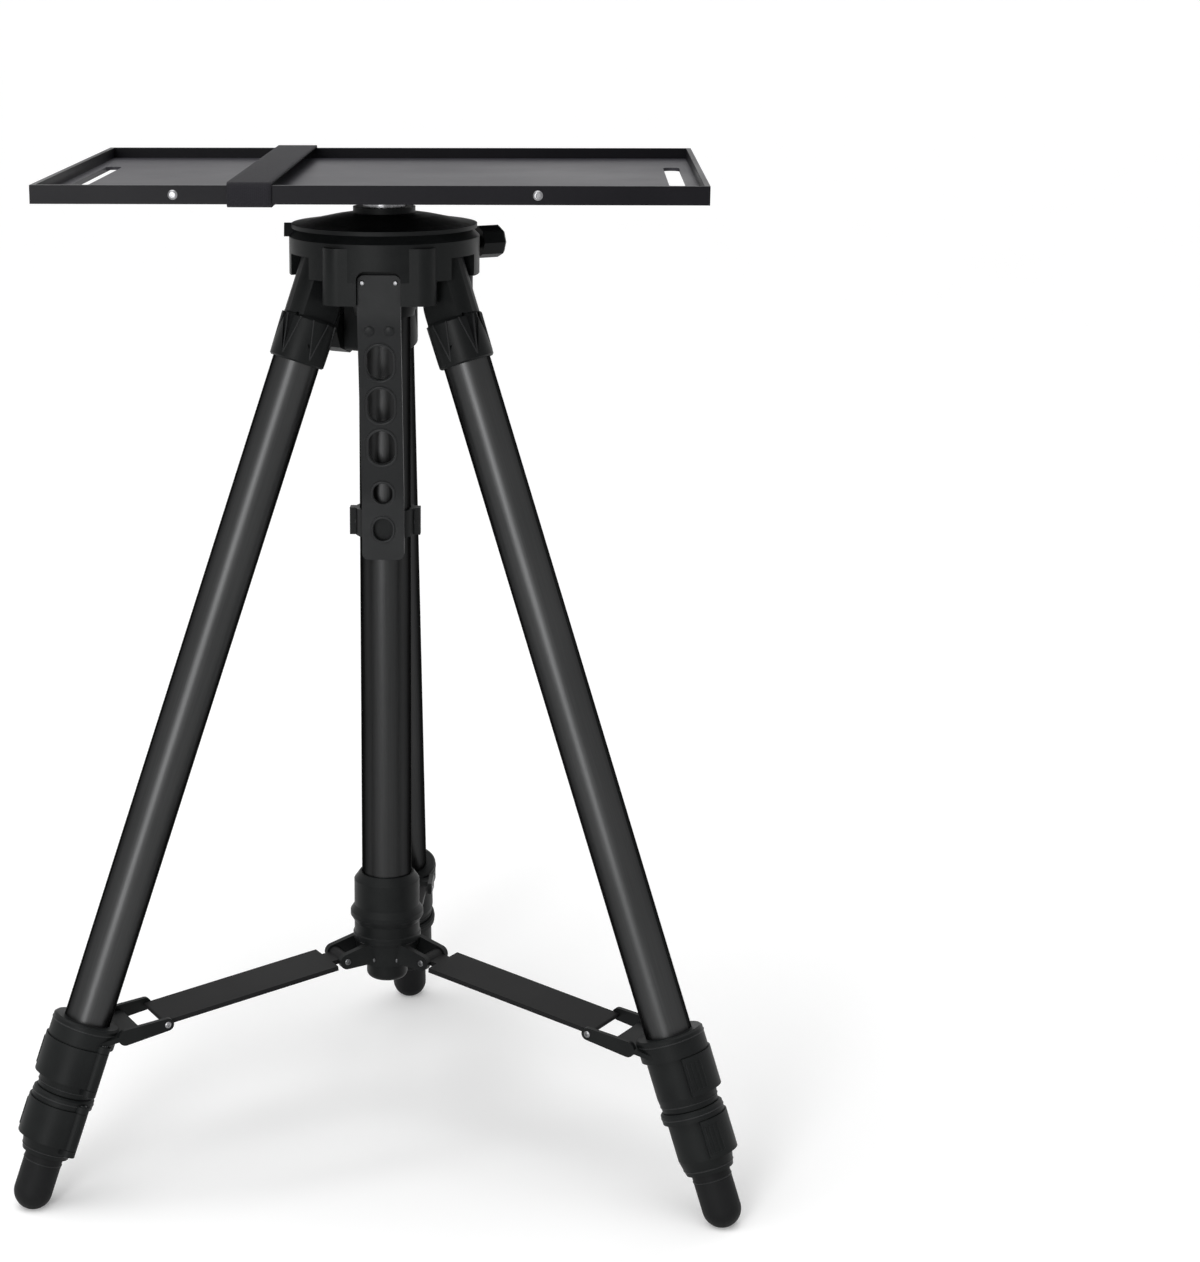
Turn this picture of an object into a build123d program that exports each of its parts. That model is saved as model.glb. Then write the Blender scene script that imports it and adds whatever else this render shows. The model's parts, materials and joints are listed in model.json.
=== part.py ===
from build123d import *

import os
from math import atan2, cos, degrees, hypot, radians, sin

# Portable projector stand: a folding three-leg tripod with telescopic legs, a
# centre column that lifts, and a shallow framed tray with a hold-down strap.
# Millimetres, +Z up, floor at Z = 0, front of the tray towards -Y.

# Legs: places along a leg are measured down its axis from its hinge
leg_azimuths = {"left": 210, "right": 330, "back": 90}
leg_lean = 20.2
hinge_radius = 46
hinge_height = 577
hinge_offset = 8.1
upper_tube_radius = 14.5
upper_tube_wall = 1.3
upper_tube_start = 38
mid_tube_radius = 12.8
mid_tube_wall = 1.2
mid_tube_length = 395
lower_tube_radius = 11.1
lower_tube_wall = 1.2
lower_tube_length = 395
foot_radius = 12
foot_sole_cut = 1.2
foot_seat = 12
foot_gap = 0.6

# Leg shoulders
eye_radius = 8
neck_thickness = 24
neck_root_radius = 16
hinge_pin_radius = 3
sleeve_radius = 17
sleeve_start = 34
sleeve_end = 62
sleeve_taper = 0.8
flute_depth = 1.4
flute_width = 10
flute_length = 24

# Lock housings and flip levers
lock_stack_height = 113.3
upper_lock_length = 46.6
upper_lock_radius = 18.5
upper_lock_rim_radius = 21
upper_lock_tail_radius = 17.4
upper_lock_seat = 13
lower_lock_length = 41
lower_lock_radius = 17
lower_lock_rim_radius = 19.4
lower_lock_tail_radius = 14.8
lower_lock_seat = 12
lock_rim = 1.2
lock_stop_gap = 0.5
bore_overrun = 30
lever_thickness = 3.2
lever_height = 24
lever_hinge_angle = 110
lever_wrap = 160
lever_knuckle_radius = 4.6
lever_pin_radius = 1.6
lever_ear_height = 4
upper_lever_drop = 14
lower_lever_drop = 7

# Spreader: sliding hub, flat arms and the forked plates on the legs that meet them
hub_pivot_radius = 34
hub_pivot_height = 129
hub_radius = 21
hub_rib_radius = 23.5
hub_neck_radius = 18
hub_top_rise = 53
hub_top_edge = 5
hub_top_inset = 3.5
hub_neck_drop = 7
hub_lip_rise = 8
hub_lip_height = 5
hub_lip_edge = 0.8
hub_rib_rise = 20
hub_rib_height = 11
hub_rib_edge = 4
arm_width = 34
arm_thickness = 3
arm_tongue_width = 15
arm_tongue_length = 9
arm_knuckle_radius = 4
arm_pin_radius = 1.8
arm_side_gap = 0.8
ear_thickness = 4
ear_radius = 5
leg_pin_inset = 44
leg_pin_rise = 11.2
leg_plate_gap = 16.4
cheek_thickness = 3
cheek_eye_radius = 4
cheek_root_radius = 5
cheek_length = 28

# Crown that carries the legs
drum_radius = 58
drum_drop = 10
drum_top_edge = 5
flange_radius = 56.5
flange_thickness = 2.5
flange_rise = 20
dome_radius = 22
dome_rise = 6.2
dome_shoulder_radius = 47
dome_shoulder_rise = 1.4
dome_crest_radius = 31
dome_crest_rise = 4.8
block_depth = 55
block_half_width = 34
side_block_half_width = 19
block_drop = 24
block_rise = 10
block_corner = 10
boss_radius = 21
boss_tip_radius = 18.2
boss_length = 12
pocket_start = 21
pocket_end = 54.8
pocket_rise = 11
mouth_rise = 3
lug_width = 18
lug_reach = 24
lug_drop = 59
tab_azimuth = 182
tab_width = 7
tab_height = 8
tab_reach = 61

# Guide tube, its end cap and the lifting column
guide_radius = 16
guide_wall = 3
guide_bottom = 126
guide_seat_rise = 4
column_radius = 12.5
column_wall = 1.6
column_bottom = 300
end_cap_radius = 13.2
end_cap_bottom = 110
end_cap_round = 4
end_cap_plug = 16
disc_radius = 19
disc_thickness = 3.5
washer_radius = 13
washer_thickness = 3
stud_radius = 4.8
stud_length = 12

# Lock knobs
pan_knob_azimuth = 30
pan_knob_rise = 5
pan_knob_start = 64
pan_knob_radius = 10
pan_knob_length = 16
lift_knob_azimuth = 150
lift_knob_drop = 47
lift_knob_start = 26
lift_knob_radius = 14.5
lift_knob_length = 16
knob_stem_radius = 4
knob_sides = 8
knob_edge = 1.5

# Carry handle strip and its band on the guide tube
handle_width = 26
handle_thickness = 4
handle_top_drop = 6
handle_straight = 26
handle_slope = 113
handle_tail = 40
handle_bend_radius = 40
handle_corner = 4
handle_recess_depth = 8
handle_recess_rise = 3
handle_recess_corner = 6
handle_side_gap = 0.3
handle_hole_pitch = 27
handle_long_hole_width = 16
handle_long_hole_length = 22
handle_short_hole_width = 12
handle_short_hole_length = 14
handle_short_hole_gap = 30
handle_short_hole_pitch = 23
band_rise = 12
band_height = 17
band_thickness = 2.7
band_pad_width = 20
band_ear_reach = 22
band_ear_width = 8

# Tray
tray_width = 380
tray_depth = 280
rail_height = 10.5
rail_wall = 3
rail_ledge = 8
rail_ledge_thickness = 2
panel_thickness = 2
slot_width = 10
slot_length = 130
slot_inset = 15
mount_plate_size = 90
mount_plate_thickness = 5
mount_plate_corner = 8
mount_boss_radius = 22
mount_boss_height = 8
strap_width = 25
strap_thickness = 1.6
strap_round = 1.5
strap_x = -66

# Fits
running_gap = 0.3
slip_fit = 0.1
seat_fit = 0.05

# Places worked out from the sizes above
lean = radians(leg_lean)
axis_radius = hinge_radius - hinge_offset * cos(lean)
axis_height = hinge_height - hinge_offset * sin(lean)
foot_ball = (axis_height - foot_radius + foot_sole_cut) / cos(lean)
foot_reach = axis_radius + foot_ball * sin(lean) + foot_radius
strap_reach = tray_depth / 2 + running_gap + strap_thickness
column_y = (strap_reach - foot_reach) / 2
block_bottom = hinge_height - block_drop
lug_bottom = hinge_height - lug_drop
pan_knob_height = hinge_height + pan_knob_rise
lift_knob_height = hinge_height - lift_knob_drop
handle_top = hinge_height - handle_top_drop
handle_bend = handle_top - handle_straight
handle_foot_bend = handle_bend - handle_slope
handle_bottom = handle_foot_bend - handle_tail
long_hole_heights = [handle_bend - handle_hole_pitch * step for step in (1, 2, 3)]
short_hole_top = long_hole_heights[-1] - handle_short_hole_gap
short_hole_heights = [short_hole_top, short_hole_top - handle_short_hole_pitch]
band_bottom = handle_bottom + band_rise
upper_lock_start = foot_ball - lock_stack_height
leg_pin_along = upper_lock_start - leg_pin_rise
drum_bottom = hinge_height - drum_drop
flange_top = hinge_height + flange_rise
flange_bottom = flange_top - flange_thickness
dome_top = flange_top + dome_rise
disc_bottom = dome_top + running_gap
washer_bottom = disc_bottom + disc_thickness
mount_bottom = washer_bottom + washer_thickness
panel_bottom = mount_bottom + mount_boss_height + mount_plate_thickness
tray_bottom = panel_bottom - rail_ledge_thickness
upper_lock_end = upper_lock_start + upper_lock_length
upper_tube_end = upper_lock_start + upper_lock_seat
lower_lock_start = upper_lock_end + lock_stop_gap
lower_lock_end = lower_lock_start + lower_lock_length
mid_tube_end = lower_lock_start + lower_lock_seat
foot_start = lower_lock_end + foot_gap
lower_tube_end = foot_start + foot_seat
upper_lock_radii = (upper_lock_radius, upper_lock_rim_radius, upper_lock_tail_radius)
lower_lock_radii = (lower_lock_radius, lower_lock_rim_radius, lower_lock_tail_radius)
hub_bore = guide_radius + running_gap
hub_bottom = hub_pivot_height - hub_neck_drop
hub_top = hub_pivot_height + hub_top_rise
lip_bottom = hub_pivot_height + hub_lip_rise
rib_bottom = hub_pivot_height + hub_rib_rise
tongue_gap = arm_tongue_width / 2 + arm_side_gap
cheek_gap = arm_width / 2 + arm_side_gap
handle_out = block_depth - handle_recess_depth + handle_thickness / 2
handle_in = guide_radius + band_thickness + handle_thickness / 2
pin_radius = axis_radius + leg_pin_along * sin(lean) - leg_pin_inset * cos(lean)
pin_height = axis_height - leg_pin_along * cos(lean) - leg_pin_inset * sin(lean)
arm_length = hypot(pin_radius - hub_pivot_radius, hub_pivot_height - pin_height)
arm_slope = degrees(atan2(hub_pivot_height - pin_height, pin_radius - hub_pivot_radius))


def polar(azimuth, radius, height):
    """A point at a radius and height from the column's axis."""
    angle = radians(azimuth)
    return Vector(radius * cos(angle), column_y + radius * sin(angle), height)


def level(height):
    """A level plane on the column's axis."""
    return Plane(origin=(0, column_y, height))


def spoke_plane(azimuth):
    """An upright plane through the column's axis: x outward, y up."""
    angle = radians(azimuth)
    return Plane(
        origin=(0, column_y, 0),
        x_dir=(cos(angle), sin(angle), 0),
        z_dir=(sin(angle), -cos(angle), 0),
    )


def spoke_end_plane(azimuth, radius, height):
    """A plane that faces outward at the end of a spoke: x level, y up."""
    angle = radians(azimuth)
    return Plane(
        origin=polar(azimuth, radius, height),
        x_dir=(-sin(angle), cos(angle), 0),
        z_dir=(cos(angle), sin(angle), 0),
    )


def leg_plane(azimuth, along):
    """A plane square to a leg, a way down its axis: x outward, z up the leg."""
    angle = radians(azimuth)
    up_leg = Vector(-sin(lean) * cos(angle), -sin(lean) * sin(angle), cos(lean))
    outward = Vector(cos(lean) * cos(angle), cos(lean) * sin(angle), sin(lean))
    return Plane(
        origin=polar(azimuth, axis_radius, axis_height) - up_leg * along,
        x_dir=outward,
        z_dir=up_leg,
    )


def leg_side_plane(azimuth):
    """The plane that a leg folds in: x outward from its axis, y up the leg."""
    square = leg_plane(azimuth, 0)
    return Plane(origin=square.origin, x_dir=square.x_dir, z_dir=square.x_dir.cross(square.z_dir))


def leg_axis(azimuth):
    """A leg's own axis."""
    square = leg_plane(azimuth, 0)
    return Axis(square.origin, square.z_dir)


def arm_plane(azimuth):
    """The side view of a spreader arm, from its pivot on the hub: x along the arm."""
    upright = spoke_plane(azimuth)
    slope = radians(arm_slope)
    pivot = polar(azimuth, hub_pivot_radius, hub_pivot_height)
    along = upright.x_dir * cos(slope) - upright.y_dir * sin(slope)
    return Plane(origin=pivot, x_dir=along, z_dir=upright.z_dir)


def arm_face_plane(azimuth):
    """The flat of a spreader arm, seen from above: x along the arm, z off its face."""
    side = arm_plane(azimuth)
    return Plane(origin=side.origin, x_dir=side.x_dir, z_dir=side.y_dir)


column_axis = Axis((0, column_y, 0), (0, 0, 1))


def save(builder, name):
    """Label a finished sub-part and write its file."""
    builder.part.label = name
    export_step(builder.part, f"parts/{name}.step")


os.makedirs("parts", exist_ok=True)

# Crown: a drum with a low dome, three blocks between the legs and a lug for the lift lock
with BuildPart() as canopy:
    with BuildSketch(spoke_plane(0)):
        Polygon(
            (0, drum_bottom),
            (drum_radius, drum_bottom),
            (drum_radius, flange_bottom - drum_top_edge),
            (drum_radius - drum_top_edge, flange_bottom),
            (flange_radius, flange_bottom),
            (flange_radius, flange_top),
            (dome_shoulder_radius, flange_top + dome_shoulder_rise),
            (dome_crest_radius, flange_top + dome_crest_rise),
            (dome_radius, dome_top),
            (0, dome_top),
            align=None,
        )
    revolve(axis=column_axis)
    with BuildSketch(level(block_bottom)) as block_plan:
        with PolarLocations(block_depth / 2, 1, start_angle=270):
            Rectangle(block_depth, 2 * block_half_width)
        with PolarLocations(block_depth / 2, 2, start_angle=30, angular_range=240):
            Rectangle(block_depth, 2 * side_block_half_width)
        fillet(block_plan.vertices().sort_by(Axis.Z), radius=block_corner)
    extrude(amount=block_drop + block_rise)
    with BuildSketch(spoke_plane(0)):
        Polygon(
            (0, block_bottom - boss_length),
            (boss_tip_radius, block_bottom - boss_length),
            (boss_radius, block_bottom),
            (boss_radius, block_bottom + 4),
            (0, block_bottom + 4),
            align=None,
        )
    revolve(axis=column_axis)
    with BuildSketch(spoke_end_plane(lift_knob_azimuth, 0, lug_bottom)):
        with Locations((0, (block_bottom + 4 - lug_bottom) / 2)):
            RectangleRounded(lug_width, block_bottom + 4 - lug_bottom, 3)
    extrude(amount=lug_reach)
    with BuildSketch(spoke_end_plane(tab_azimuth, flange_radius - 4, flange_top - tab_height / 2)):
        Trapezoid(tab_width, tab_height, 75)
    extrude(amount=tab_reach - flange_radius + 4)
    for azimuth in leg_azimuths.values():
        pocket_low = block_bottom - 1
        pocket_high = hinge_height + pocket_rise
        mouth_high = hinge_height + mouth_rise
        with BuildSketch(spoke_plane(azimuth)):
            Polygon(
                (pocket_start, pocket_low),
                (drum_radius + 5, pocket_low),
                (drum_radius + 5, mouth_high),
                (pocket_end, mouth_high),
                (pocket_end, pocket_high),
                (pocket_start, pocket_high),
                align=None,
            )
        extrude(amount=neck_thickness / 2 + 2 * running_gap, both=True, mode=Mode.SUBTRACT)
        with BuildSketch(spoke_plane(azimuth)):
            with Locations((hinge_radius, hinge_height)):
                Circle(hinge_pin_radius)
        extrude(amount=neck_thickness / 2 + 4, both=True)
    recess_height = handle_top + handle_recess_rise - block_bottom
    with BuildSketch(spoke_end_plane(270, block_depth - handle_recess_depth, block_bottom)):
        with Locations((0, recess_height / 2 - handle_width / 2)):
            RectangleRounded(
                handle_width + 2 * handle_side_gap, recess_height + handle_width, handle_recess_corner
            )
    extrude(amount=drum_radius, mode=Mode.SUBTRACT)
    with BuildSketch(level(lug_bottom - 1)):
        Circle(guide_radius + seat_fit)
    extrude(amount=hinge_height + guide_seat_rise - lug_bottom + 1, mode=Mode.SUBTRACT)
    with BuildSketch(level(hinge_height)):
        Circle(column_radius + running_gap)
    extrude(amount=dome_top, mode=Mode.SUBTRACT)
save(canopy, "canopy")

with BuildPart() as guide_tube:
    with BuildSketch(level(guide_bottom)):
        Circle(guide_radius)
        Circle(guide_radius - guide_wall, mode=Mode.SUBTRACT)
    extrude(amount=hinge_height + guide_seat_rise - guide_bottom)
save(guide_tube, "guide_tube")

with BuildPart() as tube_end_cap:
    with BuildSketch(level(end_cap_bottom)):
        Circle(end_cap_radius)
    extrude(amount=guide_bottom - end_cap_bottom)
    fillet(tube_end_cap.edges().group_by(Axis.Z)[0], radius=end_cap_round)
    with BuildSketch(level(guide_bottom)):
        Circle(guide_radius - guide_wall - seat_fit)
    extrude(amount=end_cap_plug)
save(tube_end_cap, "tube_end_cap")

# Carry handle: a bent strip with a row of holes, from the crown to the band
with BuildPart() as carry_handle:
    with BuildSketch(spoke_plane(270)):
        with BuildLine():
            handle_path = FilletPolyline(
                (handle_out, handle_top),
                (handle_out, handle_bend),
                (handle_in, handle_foot_bend),
                (handle_in, handle_bottom),
                radius=handle_bend_radius,
            )
        trace(handle_path, line_width=handle_thickness)
    extrude(amount=handle_width / 2, both=True)
    with BuildSketch(spoke_end_plane(270, 0, 0)):
        for height in long_hole_heights:
            with Locations((0, height)):
                SlotOverall(handle_long_hole_length, handle_long_hole_width, rotation=90)
        for height in short_hole_heights:
            with Locations((0, height)):
                SlotOverall(handle_short_hole_length, handle_short_hole_width, rotation=90)
    extrude(amount=block_depth + 20, mode=Mode.SUBTRACT)
    fillet(carry_handle.edges().filter_by(Axis.Y).group_by(Axis.Z)[0], radius=handle_corner)
    fillet(carry_handle.edges().filter_by(Axis.Y).group_by(Axis.Z)[-1], radius=handle_corner)
save(carry_handle, "carry_handle")

with BuildPart() as handle_band:
    with BuildSketch(level(band_bottom)):
        Circle(guide_radius + band_thickness)
        with Locations((0, -(guide_radius + band_thickness) / 2)):
            Rectangle(band_pad_width, guide_radius + band_thickness)
        Rectangle(2 * band_ear_reach, band_ear_width)
        Circle(guide_radius + seat_fit, mode=Mode.SUBTRACT)
    extrude(amount=band_height)
save(handle_band, "handle_band")


def make_knob(azimuth, height, stem_start, start, radius, length):
    """An eight-sided knob on a short stem that points outward from the column."""
    with BuildPart() as knob:
        with BuildSketch(spoke_end_plane(azimuth, start, height)):
            RegularPolygon(radius, knob_sides)
        extrude(amount=length)
        outward = Axis(polar(azimuth, 0, height), polar(azimuth, 1, 0) - polar(azimuth, 0, 0))
        chamfer(knob.faces().sort_by(outward)[-1].edges(), length=knob_edge)
        with BuildSketch(spoke_end_plane(azimuth, stem_start, height)):
            Circle(knob_stem_radius)
        extrude(amount=start - stem_start)
    return knob


pan_knob = make_knob(
    pan_knob_azimuth,
    pan_knob_height,
    drum_radius + slip_fit,
    pan_knob_start,
    pan_knob_radius,
    pan_knob_length,
)
save(pan_knob, "pan_knob")
lift_knob = make_knob(
    lift_knob_azimuth, lift_knob_height, lug_reach, lift_knob_start, lift_knob_radius, lift_knob_length
)
save(lift_knob, "lift_knob")

# Lifting column with its head disc, stud and bright washer
with BuildPart() as column:
    with BuildSketch(level(column_bottom)):
        Circle(column_radius)
        Circle(column_radius - column_wall, mode=Mode.SUBTRACT)
    extrude(amount=disc_bottom - column_bottom)
save(column, "column")

with BuildPart() as column_head:
    with BuildSketch(level(disc_bottom)):
        Circle(disc_radius)
    extrude(amount=disc_thickness)
    with BuildSketch(level(washer_bottom)):
        Circle(stud_radius)
    extrude(amount=stud_length)
save(column_head, "column_head")

with BuildPart() as head_washer:
    with BuildSketch(level(washer_bottom)):
        Circle(washer_radius)
        Circle(stud_radius + slip_fit, mode=Mode.SUBTRACT)
    extrude(amount=washer_thickness)
save(head_washer, "head_washer")

# Tray: mount plate, panel with strap slots, four rails and the strap
with BuildPart() as tray_mount:
    with BuildSketch(level(mount_bottom)):
        Circle(mount_boss_radius)
    extrude(amount=mount_boss_height)
    with BuildSketch(level(mount_bottom + mount_boss_height)):
        RectangleRounded(mount_plate_size, mount_plate_size, mount_plate_corner)
    extrude(amount=mount_plate_thickness)
    with BuildSketch(level(mount_bottom)):
        Circle(stud_radius + slip_fit)
    extrude(amount=stud_length - washer_thickness + running_gap, mode=Mode.SUBTRACT)
save(tray_mount, "tray_mount")

slot_x = tray_width / 2 - slot_inset
with BuildPart() as tray_panel:
    with BuildSketch(level(panel_bottom)):
        Rectangle(tray_width - 2 * rail_wall, tray_depth - 2 * rail_wall)
        with Locations((-slot_x, 0), (slot_x, 0)):
            SlotOverall(slot_length, slot_width, rotation=90, mode=Mode.SUBTRACT)
    extrude(amount=panel_thickness)
save(tray_panel, "tray_panel")

rails = {
    "front": (0, tray_width - 2 * rail_wall, tray_depth, tray_width - 2 * rail_ledge),
    "right": (90, tray_depth, tray_width, tray_depth - 2 * rail_wall),
    "back": (180, tray_width - 2 * rail_wall, tray_depth, tray_width - 2 * rail_ledge),
    "left": (270, tray_depth, tray_width, tray_depth - 2 * rail_wall),
}
for side, (turn, wall_length, across, ledge_length) in rails.items():
    rail_plane = level(tray_bottom).rotated((0, 0, turn))
    with BuildPart() as rail:
        with BuildSketch(rail_plane):
            with Locations((0, (rail_wall - across) / 2)):
                Rectangle(wall_length, rail_wall)
        extrude(amount=rail_height)
        with BuildSketch(rail_plane):
            with Locations((0, (rail_ledge - across) / 2)):
                Rectangle(ledge_length, rail_ledge)
        extrude(amount=rail_ledge_thickness)
    save(rail, f"tray_{side}_rail")

strap_inner_height = rail_height + 2 * running_gap
with BuildPart() as tray_strap:
    strap_middle = Plane(
        origin=(strap_x, column_y, tray_bottom + rail_height / 2), x_dir=(0, 1, 0), z_dir=(1, 0, 0)
    )
    with BuildSketch(strap_middle):
        RectangleRounded(2 * strap_reach, strap_inner_height + 2 * strap_thickness, strap_round)
        Rectangle(2 * (strap_reach - strap_thickness), strap_inner_height, mode=Mode.SUBTRACT)
    extrude(amount=strap_width / 2, both=True)
save(tray_strap, "tray_strap")

# Spreader hub: a sleeve on the guide tube with three pairs of ears and their pins
with BuildPart() as hub:
    with BuildSketch(spoke_plane(0)):
        Polygon(
            (0, hub_bottom),
            (hub_neck_radius, hub_bottom),
            (hub_radius, lip_bottom),
            (hub_radius + hub_lip_edge, lip_bottom + hub_lip_edge),
            (hub_radius + hub_lip_edge, lip_bottom + hub_lip_height - hub_lip_edge),
            (hub_radius, lip_bottom + hub_lip_height),
            (hub_radius, rib_bottom),
            (hub_rib_radius, rib_bottom + hub_rib_edge),
            (hub_rib_radius, rib_bottom + hub_rib_height - hub_rib_edge),
            (hub_radius, rib_bottom + hub_rib_height),
            (hub_radius, hub_top - hub_top_edge),
            (hub_radius - hub_top_inset, hub_top),
            (0, hub_top),
            align=None,
        )
    revolve(axis=column_axis)
    for azimuth in leg_azimuths.values():
        for side_offset in (tongue_gap, -tongue_gap - ear_thickness):
            with BuildSketch(spoke_plane(azimuth).offset(side_offset)):
                with Locations((hub_pivot_radius, hub_pivot_height)):
                    Circle(ear_radius)
                with Locations((hub_neck_radius - 3, hub_pivot_height + 3)):
                    Circle(ear_radius + 2)
                make_hull()
            extrude(amount=ear_thickness)
        with BuildSketch(spoke_plane(azimuth)):
            with Locations((hub_pivot_radius, hub_pivot_height)):
                Circle(arm_pin_radius)
        extrude(amount=tongue_gap + ear_thickness, both=True)
    with BuildSketch(level(hub_bottom - bore_overrun)):
        Circle(hub_bore)
    extrude(amount=hub_top - hub_bottom + 2 * bore_overrun, mode=Mode.SUBTRACT)
save(hub, "hub")


def make_tube(azimuth, end, length, radius, wall):
    """A plain leg tube that ends a way down the leg."""
    with BuildPart() as tube:
        with BuildSketch(leg_plane(azimuth, end)):
            Circle(radius)
            Circle(radius - wall, mode=Mode.SUBTRACT)
        extrude(amount=length)
    return tube


def make_lock(azimuth, start, length, radii, lever_top, seat_end, seat_radius, running_radius, meets_arm):
    """A lock housing with knuckles and a pin for its lever, and cheeks that flank an arm's end."""
    radius, rim_radius, tail_radius = radii
    place = radius + running_gap + lever_thickness / 2
    seat_top = lever_top - running_gap
    seat_bottom = lever_top + lever_height + running_gap
    ears = (
        (seat_top, lever_knuckle_radius),
        (seat_bottom + lever_ear_height, lever_knuckle_radius),
    )
    with BuildPart() as lock:
        with BuildSketch(leg_side_plane(azimuth)):
            Polygon(
                (0, -start),
                (rim_radius - lock_rim, -start),
                (rim_radius, -start - lock_rim),
                (rim_radius, -seat_top),
                (radius, -seat_top),
                (radius, -seat_bottom),
                (tail_radius, -start - length),
                (0, -start - length),
                align=None,
            )
        revolve(axis=leg_axis(azimuth))
        for along, ear in ears:
            with BuildSketch(leg_plane(azimuth, along)):
                with PolarLocations(place, 1, start_angle=lever_hinge_angle):
                    Circle(ear)
                with PolarLocations(place - ear, 1, start_angle=lever_hinge_angle):
                    Rectangle(2 * ear, 2 * ear)
            extrude(amount=lever_ear_height)
        with BuildSketch(leg_plane(azimuth, lever_top + lever_height + 1)):
            with PolarLocations(place, 1, start_angle=lever_hinge_angle):
                Circle(lever_pin_radius)
        extrude(amount=lever_height + 2)
        with BuildSketch(leg_plane(azimuth, lever_top + lever_height + running_gap)):
            with PolarLocations(place, 1, start_angle=lever_hinge_angle):
                Circle(lever_knuckle_radius + running_gap)
                Circle(lever_pin_radius, mode=Mode.SUBTRACT)
        extrude(amount=lever_height + 2 * running_gap, mode=Mode.SUBTRACT)
        if meets_arm:
            plate_start = arm_length + leg_plate_gap
            plate_end = arm_length + leg_pin_inset / cos(lean)
            with BuildSketch(arm_plane(azimuth)):
                with Locations(((plate_start + plate_end) / 2, 0)):
                    Rectangle(plate_end - plate_start, arm_thickness)
            extrude(amount=cheek_gap + cheek_thickness, both=True)
            for side_offset in (cheek_gap, -cheek_gap - cheek_thickness):
                with BuildSketch(arm_plane(azimuth).offset(side_offset)):
                    with Locations((arm_length, 0)):
                        Circle(cheek_eye_radius)
                    with Locations((arm_length + cheek_length, 0)):
                        Circle(cheek_root_radius)
                    make_hull()
                extrude(amount=cheek_thickness)
        with BuildSketch(leg_plane(azimuth, seat_end)):
            Circle(seat_radius + seat_fit)
        extrude(amount=seat_end - start + bore_overrun, mode=Mode.SUBTRACT)
        with BuildSketch(leg_plane(azimuth, start + length + 1)):
            Circle(running_radius + running_gap)
        extrude(amount=start + length + 1 - seat_end, mode=Mode.SUBTRACT)
    return lock


def make_lever(azimuth, lock_radius, lever_top):
    """A flip lever that hugs its lock housing, hinged on a pin along the leg."""
    inner = lock_radius + running_gap
    outer = inner + lever_thickness
    place = inner + lever_thickness / 2
    with BuildPart() as lever:
        with BuildSketch(leg_plane(azimuth, lever_top + lever_height)):
            with BuildLine():
                outer_arc = CenterArc((0, 0), outer, lever_hinge_angle, -lever_wrap)
                inner_arc = CenterArc((0, 0), inner, lever_hinge_angle, -lever_wrap)
                Line(outer_arc @ 0, inner_arc @ 0)
                Line(outer_arc @ 1, inner_arc @ 1)
            make_face()
            with PolarLocations(place, 1, start_angle=lever_hinge_angle):
                Circle(lever_knuckle_radius)
            Circle(inner, mode=Mode.SUBTRACT)
            with PolarLocations(place, 1, start_angle=lever_hinge_angle):
                Circle(lever_pin_radius + slip_fit, mode=Mode.SUBTRACT)
        extrude(amount=lever_height)
    return lever


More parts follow.
